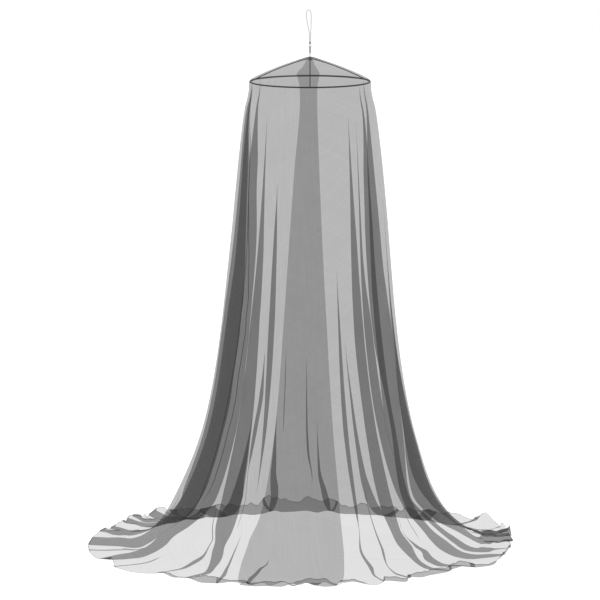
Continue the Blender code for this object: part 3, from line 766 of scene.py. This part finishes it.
    def between(self, k, share):
        """Azimuth and offset between fold k and the next one, at a share of the way."""
        none = np.zeros_like(self.radius)
        if k < 0:
            left, left_offset = self.start, none
        else:
            left, left_offset = self.inside(k, 1.0)
        if k + 1 >= self.count:
            right, right_offset = self.end, none
        else:
            right, right_offset = self.inside(k + 1, -1.0)
        length = np.radians(right - left) * self.radius
        nearest = np.minimum(share, 1 - share) * length
        calm = 1 - smooth_step(nearest / CALM_LENGTH)
        offset = (left_offset + (right_offset - left_offset) * smooth_step(share)) * calm
        return left + (right - left) * share, offset

    def columns(self):
        """One (azimuth, offset) pair of rows for each column of the sheet, from edge to edge."""
        columns = []
        for k in range(-1, self.count):
            if k >= 0:
                columns += [self.inside(k, t) for t in self.places(k)]
            left = self.between(k, 0.0)[0]
            right = self.between(k, 1.0)[0]
            steps = max(1, round(float(np.max(right - left)) / PLAIN_STEP))
            first = 0 if k < 0 else 1
            last = steps + 1 if k + 1 >= self.count else steps
            columns += [self.between(k, i / steps) for i in range(first, last)]
        return columns


def ripple(azimuth, distance):
    """Small uneven undulation of the sheet, from -1 to 1, much longer down the net than round it."""
    size, pitch = RIPPLE_PLACE
    return np.array([ring_noise(a, (size, pitch * d)) for a, d in zip(np.radians(azimuth), distance)])


def hem_curl(start, length, lean):
    """Steps (outward, up) of the hem's curl from the skirt's last row, and of its doubled strip."""
    share = np.arange(1, CURL_ROWS + 1) / CURL_ROWS
    bend = start + (lean - start) * smooth_step(share / CURL_TURN)
    out = np.cumsum(np.cos(bend)) * length / CURL_ROWS
    up = np.cumsum(np.sin(bend)) * length / CURL_ROWS
    strip = min(HEM_WIDTH, HEM_SHARE * length)
    along = np.array([math.cos(lean), math.sin(lean)])
    across = np.array([-along[1], along[0]])
    tip = np.array([out[-1], up[-1]])
    strip_points = [
        tip + along * HEM_THICK / 2 + across * HEM_THICK / 2,
        tip + across * HEM_THICK,
        tip + across * HEM_THICK - along * strip / 2,
        tip + across * HEM_THICK - along * strip,
    ]
    strip_out, strip_up = np.array(strip_points).T
    return np.concatenate([out, strip_out]), np.concatenate([up, strip_up])


def place_column(azimuth, offset, folds, profile, hem):
    """World points of one column of the net, with the curl of its hem."""
    _, rows, radius, height, out_r, out_z = profile
    from_inner = smooth_step((azimuth - INNER_END) / OVERLAP_EASE)
    from_outer = smooth_step((OUTER_END - azimuth) / OVERLAP_EASE)
    offset = offset + folds.gap / 2 * (from_inner - from_outer)
    reach, lift, curl = (ease(azimuth, hem[:, 0], hem[:, i]) for i in (1, 2, 3))
    turn = math.radians(azimuth[-1])
    jag = ring_noise(turn, JAG_PLACE)
    fine = ring_noise(turn, FINE_PLACE)
    lift = lift + HEM_ROUGH * fine * smooth_step(lift / (2 * HEM_ROUGH))
    spread = np.clip((radius - SKIRT_START) / (radius[-1] - SKIRT_START), 0.0, 1.0)
    around = radius + spread * (reach - radius[-1])
    arches = np.array(ARCHES)
    arch = ease(azimuth, arches[:, 0], arches[:, 1])
    up = height + lift * spread ** LIFT_POWER
    up = up + arch * rise(radius, ARCH_SPAN)
    ridges = np.array(RIDGES)
    ridge = ease(azimuth + RIDGE_SWAY * folds.wander, ridges[:, 0], ridges[:, 1])
    up = up + ridge * rise(radius, RIDGE_SPAN)
    loose = smooth_step((HOOP_HEIGHT - height) / RIPPLE_ONSET)
    offset = offset + RIPPLE_DEPTH * loose * ripple(azimuth, rows)
    pleat = np.cos(np.radians(azimuth) * PLEATS) * radius / PLEAT_REACH
    offset = offset + PLEAT_DEPTH * pleat * np.exp(1 - radius / PLEAT_REACH) * (radius < HOOP_RADIUS)
    lean = np.array(LEAN)
    side = np.sin(np.radians(azimuth))
    around = around + out_r * offset + ease(radius, lean[:, 0], lean[:, 1]) * side * np.abs(side)
    up = up + out_z * offset

    length = max(CURL_LEAST, curl[-1] * (1.0 + CURL_ROUGH * jag + CURL_ROUGH * fine))
    slope = math.atan2(up[-1] - up[-2], around[-1] - around[-2])
    flat = 1.0 - smooth_step((curl[-1] - CURL_FLAT) / CURL_FLAT)
    out_step, up_step = hem_curl(slope, length, (CURL_LEAN + LEAN_ROUGH * jag) * (1.0 - flat))
    last = len(out_step)
    around = np.concatenate([around, around[-1] + out_step])
    up = np.concatenate([up, up[-1] + up_step])
    turn = np.radians(np.concatenate([azimuth, np.full(last, azimuth[-1])]))
    return np.stack([-around * np.sin(turn), -around * np.cos(turn), world_z(up)], axis=1)


def add_cut_map(mesh, points):
    """A UV map in metres of the cut sheet: along the hem and down from the tip."""
    along = np.linalg.norm(np.diff(points, axis=0), axis=2)
    along = np.concatenate([np.zeros((1, points.shape[1])), np.cumsum(along, axis=0)])
    down = np.linalg.norm(np.diff(points, axis=1), axis=2)
    down = np.concatenate([np.zeros((points.shape[0], 1)), np.cumsum(down, axis=1)], axis=1)
    place = np.stack([along.ravel(), down.ravel()], axis=1)
    corner = np.empty(len(mesh.loops), dtype=np.int32)
    mesh.loops.foreach_get("vertex_index", corner)
    layer = mesh.uv_layers.new(name="cut")
    layer.data.foreach_set("uv", place[corner].ravel())


def make_net():
    """The whole net as one open sheet."""
    profile = profile_rows()
    folds = Folds(*profile[:4])
    hem = np.array(HEM)
    columns = [place_column(a, o, folds, profile, hem) for a, o in folds.columns()]
    points = np.array(columns)
    mesh = grid_mesh("canopy_net", points)
    add_cut_map(mesh, points)
    mesh.shade_smooth()
    mesh.materials.append(net_material())
    net = add_object("canopy_net", mesh)
    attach(net, "root")
    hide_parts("net")


# ---- wire frame and hanger ----


def write_back(shape, mesh):
    """Put an edited shape back in its mesh, with its faces turned outward."""
    bmesh.ops.recalc_face_normals(shape, faces=shape.faces)
    shape.to_mesh(mesh)
    shape.free()


def close_ends(mesh, sides, rings):
    """Caps on the first and last ring of a tube made by grid_mesh."""
    shape = bmesh.new()
    shape.from_mesh(mesh)
    shape.verts.ensure_lookup_table()
    for ring in (0, rings - 1):
        shape.faces.new([shape.verts[k * rings + ring] for k in range(sides)])
    write_back(shape, mesh)


def tube(name, path, across, radius_at, sides, closed=False):
    """A tube along a path that lies in one plane. The plane's normal is across."""
    across = Vector(across)
    count = len(path)
    rings = []
    for i, point in enumerate(path):
        before = path[i - 1] if closed else path[max(i - 1, 0)]
        after = path[(i + 1) % count] if closed else path[min(i + 1, count - 1)]
        side = (after - before).normalized().cross(across)
        ring = []
        for k in range(sides):
            angle = 2 * math.pi * k / sides
            direction = side * math.cos(angle) + across * math.sin(angle)
            ring.append(point + direction * radius_at(i, angle))
        rings.append(ring)
    points = np.array(rings).transpose(1, 0, 2)
    mesh = grid_mesh(name, points, closed_around=True, closed_along=closed)
    if not closed:
        close_ends(mesh, sides, count)
    return mesh


def turned(name, outline):
    """A turned mesh about the canopy's axis. The outline is radius, height."""
    radius, height = np.array(outline).T
    turn = np.linspace(0.0, 2 * math.pi, TURNED_SIDES, endpoint=False)[:, None]
    up = world_z(height) + 0 * turn
    points = np.stack([radius * np.cos(turn), radius * np.sin(turn), up], axis=2)
    mesh = grid_mesh(name, points, closed_around=True)
    shape = bmesh.new()
    shape.from_mesh(mesh)
    bmesh.ops.remove_doubles(shape, verts=shape.verts, dist=MERGE_DISTANCE)
    write_back(shape, mesh)
    return mesh


def add_hardware(mesh, material, slot, *nodes):
    """A detailed piece in place of the frame's plain ones."""
    mesh.shade_smooth()
    mesh.set_sharp_from_angle(angle=SHARP_ANGLE)
    mesh.materials.append(material)
    piece = add_object(mesh.name, mesh)
    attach(piece, "root")
    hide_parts(*nodes)


def make_hoop(material):
    """The round wire hoop."""
    path = [
        Vector((HOOP_RADIUS * math.cos(a), HOOP_RADIUS * math.sin(a), world_z(HOOP_HEIGHT)))
        for a in (2 * math.pi * i / HOOP_STEPS for i in range(HOOP_STEPS))
    ]
    mesh = tube("hoop_ring", path, (0, 0, 1), lambda i, angle: HOOP_WIRE, WIRE_SIDES, closed=True)
    add_hardware(mesh, material, "grey_wire", "hoop")


def make_spoke(name, direction, material):
    """A bowed wire from the hub to the hoop, with a small weld bead at each end."""
    root = Vector((HUB_RADIUS, world_z(SPOKE_ROOT_HEIGHT)))
    rim = Vector((HOOP_RADIUS, world_z(HOOP_HEIGHT)))
    bend = (root + rim) / 2 + Vector((0.0, 2 * SPOKE_BOW))
    tip = rim - (rim - bend).normalized() * HOOP_WIRE
    path = []
    for i in range(SPOKE_STEPS + 1):
        t = (1 - math.cos(math.pi * i / SPOKE_STEPS)) / 2
        radius, z = root * (1 - t) ** 2 + bend * 2 * t * (1 - t) + tip * t * t
        path.append(Vector((direction[0] * radius, direction[1] * radius, z)))

    def bead(i, angle):
        end = min((path[i] - path[0]).length, (path[i] - path[-1]).length)
        return SPOKE_WIRE + WELD_GROWTH * max(0.0, 1 - end / WELD_LENGTH) ** 2

    mesh = tube(name + "_wire", path, (-direction[1], direction[0], 0), bead, WIRE_SIDES)
    add_hardware(mesh, material, "grey_wire", name)


def pin_outline(radius, bottom, top):
    """A pin with rounded ends, from its top down."""
    edge = radius * PIN_ROUND
    arc = [math.pi / 2 * i / PIN_STEPS for i in range(PIN_STEPS + 1)]
    upper = [(radius - edge + edge * math.sin(a), top - edge + edge * math.cos(a)) for a in arc]
    lower = [(radius - edge + edge * math.cos(a), bottom + edge - edge * math.sin(a)) for a in arc]
    return [(0.0, top), *upper, *lower, (0.0, bottom)]


def make_crossbar(material):
    """The level pin across the shank's top, with its ends rounded in two steps."""
    half = BAR_LENGTH / 2
    edge = BAR_RADIUS * PIN_ROUND
    places = [-half, -half + edge / 3, -half + edge, half - edge, half - edge / 3, half]
    ends = [BAR_RADIUS - edge, BAR_RADIUS - edge / 3, BAR_RADIUS]
    widths = ends + ends[::-1]
    path = [Vector((x, 0.0, world_z(BAR_HEIGHT))) for x in places]
    mesh = tube("cross_pin", path, (0, 1, 0), lambda i, angle: widths[i], WIRE_SIDES)
    add_hardware(mesh, material, "bright_metal", "crossbar")


def make_hardware():
    """Hoop, spokes, hub and the hanger's pins."""
    wire = wire_material("grey_wire", SPOKE_COLOURS)
    dark = metal_material("dark_metal", DARK_METAL)
    bright = metal_material("bright_metal", BRIGHT_METAL)
    make_hoop(wire_material("grey_hoop_wire", HOOP_COLOURS))
    sides = {"front": (0, -1), "back": (0, 1), "left": (-1, 0), "right": (1, 0)}
    for side, direction in sides.items():
        make_spoke(f"spoke_{side}", direction, wire)
    # painted light: the hub boss's paint is a lighter copy of the grey wire, lifting it out of the shade
    # under the net
    boss = wire_material("grey_boss_painted_light", BOSS_LIT_COLOURS)
    add_hardware(turned("hub_boss", HUB_OUTLINE), boss, "grey_wire", "hub")
    add_hardware(turned("hub_link", pin_outline(*EYE)), bright, "bright_metal", "hub_eye")
    add_hardware(turned("swivel_shank", pin_outline(*SHANK)), dark, "dark_metal", "shank")
    add_hardware(turned("cord_neck", pin_outline(*NECK)), bright, "bright_metal", "neck")
    add_hardware(turned("crimp_bead", CRIMP_OUTLINE), dark, "dark_metal", "crimp")
    make_crossbar(bright)


def cord_centreline():
    """The cord's smooth route through the points of its table, at even distances."""
    route = np.array(CORD_ROUTE)
    steps = np.hypot(*np.diff(route, axis=0).T)
    distance = np.concatenate([[0.0], np.cumsum(steps)])
    slope = np.gradient(route, distance, axis=0)
    slope[0] = (0.0, 1.0)  # straight up out of the crimp, and straight down into it
    slope[-1] = (0.0, -1.0)
    points = []
    for place in np.linspace(0.0, distance[-1], CORD_RINGS):
        i = min(int(np.searchsorted(distance, place, side="right")) - 1, len(steps) - 1)
        t = (place - distance[i]) / steps[i]
        x, height = cubic(t, steps[i], route[i:i + 2], slope[i:i + 2])
        points.append(Vector((x, 0.0, world_z(height))))
    return points


def make_cord():
    """A three-strand twisted cord: a tube whose three lobes turn along its length."""
    path = cord_centreline()
    twist = 2 * math.pi * CORD_LENGTH / CORD_TWIST / (CORD_RINGS - 1)

    def strands(i, angle):
        lobe = abs(math.cos(CORD_STRANDS * (angle - twist * i) / 2))
        return CORD_RADIUS * (1 - CORD_LOBE + CORD_LOBE * lobe)

    mesh = tube("cord_loop", path, (0, 1, 0), strands, CORD_SIDES)
    mesh.shade_smooth()
    mesh.materials.append(cord_material())
    cord = add_object("cord_loop", mesh)
    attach(cord, "root")
    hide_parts("hanging_loop")


# ---- stage, light and camera ----


def make_camera():
    """The camera at the viewing angle of the photograph."""
    camera = bpy.data.cameras.new("camera")
    camera.lens = CAMERA_LENS
    camera.sensor_width = SENSOR_WIDTH
    camera.clip_end = CAMERA_REACH
    obj = add_object("camera", camera)
    obj.location = (CAMERA_X, -CAMERA_DISTANCE, world_z(CAMERA_HEIGHT))
    obj.rotation_euler = (math.radians(90.0 - CAMERA_PITCH), 0.0, math.radians(CAMERA_YAW))
    bpy.context.scene.camera = obj


def make_stage():
    """A pale floor that glows like a lit studio sweep, a white surround and one soft lamp."""
    world = bpy.data.worlds.new("studio")
    world.use_nodes = True
    background = world.node_tree.nodes["Background"]
    background.inputs["Color"].default_value = (1.0, 1.0, 1.0, 1.0)
    tree = world.node_tree
    place = tree.nodes.new("ShaderNodeTexCoord")
    axes = tree.nodes.new("ShaderNodeSeparateXYZ")
    fall = tree.nodes.new("ShaderNodeMapRange")
    sockets = ("From Min", "From Max", "To Min", "To Max")
    for socket, value in zip(sockets, (*FALL_OFF, BACKDROP_LIGHT, UPPER_LIGHT)):
        fall.inputs[socket].default_value = value
    tree.links.new(place.outputs["Generated"], axes.inputs[0])
    tree.links.new(axes.outputs["Z"], fall.inputs["Value"])
    tree.links.new(fall.outputs[0], background.inputs["Strength"])
    bpy.context.scene.world = world

    n = Nodes("floor")
    n.shader.inputs["Base Color"].default_value = (FLOOR_TONE, FLOOR_TONE, FLOOR_TONE, 1.0)
    n.set("Roughness", FLOOR_ROUGHNESS)
    n.set("Specular IOR Level", 0.0)
    n.shader.inputs["Emission Color"].default_value = (1.0, 1.0, 1.0, 1.0)
    n.set("Emission Strength", FLOOR_GLOW)
    half = FLOOR_SIZE / 2
    corners = [(-half, -half, FLOOR_Z), (half, -half, FLOOR_Z), (half, half, FLOOR_Z), (-half, half, FLOOR_Z)]
    mesh = bpy.data.meshes.new("floor")
    mesh.from_pydata(corners, [], [(0, 1, 2, 3)])
    mesh.materials.append(n.material)
    floor = add_object("floor", mesh)

    lamp = bpy.data.lights.new("key", "AREA")
    lamp.shape = "DISK"
    lamp.size = KEY_SIZE
    lamp.energy = KEY_POWER
    key = add_object("key", lamp)
    key.location = KEY_PLACE
    key.rotation_euler = (-Vector(KEY_PLACE)).to_track_quat("-Z", "Y").to_euler()


def set_render_quality():
    """Light that goes through every layer of net, and plain colours without a film look."""
    scene = bpy.context.scene
    scene.view_settings.view_transform = "Standard"
    scene.view_settings.look = "None"
    scene.cycles.min_transparent_bounces, scene.cycles.transparent_max_bounces = SEE_THROUGH


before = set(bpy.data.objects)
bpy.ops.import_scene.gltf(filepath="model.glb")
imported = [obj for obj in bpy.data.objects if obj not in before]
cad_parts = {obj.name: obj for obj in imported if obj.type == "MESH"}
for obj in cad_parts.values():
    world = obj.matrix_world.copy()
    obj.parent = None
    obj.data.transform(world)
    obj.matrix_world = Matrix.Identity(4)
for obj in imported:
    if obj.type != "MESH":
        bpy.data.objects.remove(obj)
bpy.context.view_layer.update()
make_camera()
make_cord()
make_stage()
set_render_quality()
make_hardware()
make_net()
